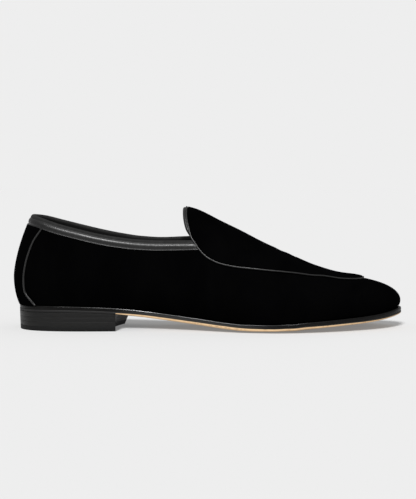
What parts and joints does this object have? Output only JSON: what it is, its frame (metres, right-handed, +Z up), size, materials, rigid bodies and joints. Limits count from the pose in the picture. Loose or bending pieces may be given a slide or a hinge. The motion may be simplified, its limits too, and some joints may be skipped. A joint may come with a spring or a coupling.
{
  "type": "velvet slipper loafer",
  "caption": "Right velvet slipper loafer with a piped plug and tongue, a bound collar, a leather sole and a low stacked heel, standing empty.",
  "frame": {"origin": "on the floor, below the middle of the shoe's box", "axes": "+X from the heel to the toe, +Y to the inner (medial) side of the foot, +Z up"},
  "size_m": [0.303, 0.1006, 0.0956],
  "materials": {
    "velvet": "black cotton velvet, short pile, no gloss",
    "trim_leather": "soft black leather, fine grain, low sheen",
    "lining_leather": "smooth black lining leather, matt",
    "edge_leather": "black burnished edge, waxed",
    "sole_leather": "natural veg-tanned sole leather",
    "heel_leather": "black stacked leather, waxed edge",
    "heel_rubber": "black rubber, matt"
  },
  "bodies": {
    "root": {"upper": "velvet", "plug": "velvet", "back_strip": "velvet", "plug_piping": "trim_leather", "back_piping_lateral": "trim_leather", "back_piping_medial": "trim_leather", "topline_binding": "trim_leather", "insole": "lining_leather", "midsole": "edge_leather", "outsole": "sole_leather", "heel_lift_1": "heel_leather", "heel_lift_2": "heel_leather", "heel_lift_3": "heel_leather", "heel_top_piece": "heel_rubber"}
  },
  "joints": []
}
